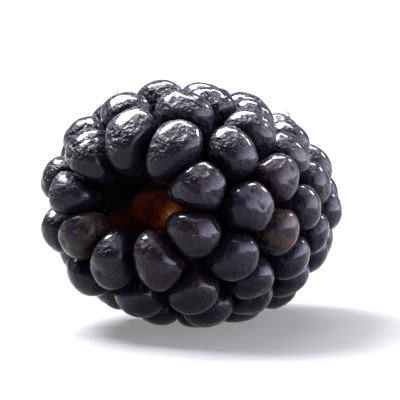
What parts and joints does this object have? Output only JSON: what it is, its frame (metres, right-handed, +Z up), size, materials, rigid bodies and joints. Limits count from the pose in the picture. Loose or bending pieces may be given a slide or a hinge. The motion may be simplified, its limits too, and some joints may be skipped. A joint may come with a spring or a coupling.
{
  "type": "bramble berry",
  "caption": "Ripe bramble berry as picked: a blunt oval cluster of glossy near-black drupelets grown round a core whose stem scar shows in a small recess, resting on its side",
  "frame": {"origin": "bottom centre of the berry's box, on the surface it rests on", "axes": "+Z up, the berry lies on its side along Y: the stem end with its recess faces -Y and is lifted a little, the tip faces +Y"},
  "size_m": [0.0226, 0.0277, 0.0203],
  "materials": {
    "drupelet_skin": "near-black purple juicy skin, glossy, with small crisp highlights, a faint greyish bloom and tiny brown specks where the styles dried",
    "core_flesh": "matt, fibrous orange-brown flesh at the stem scar, darker towards the groove round it"
  },
  "bodies": {
    "root": {"berry": "drupelet_skin"}
  },
  "joints": []
}
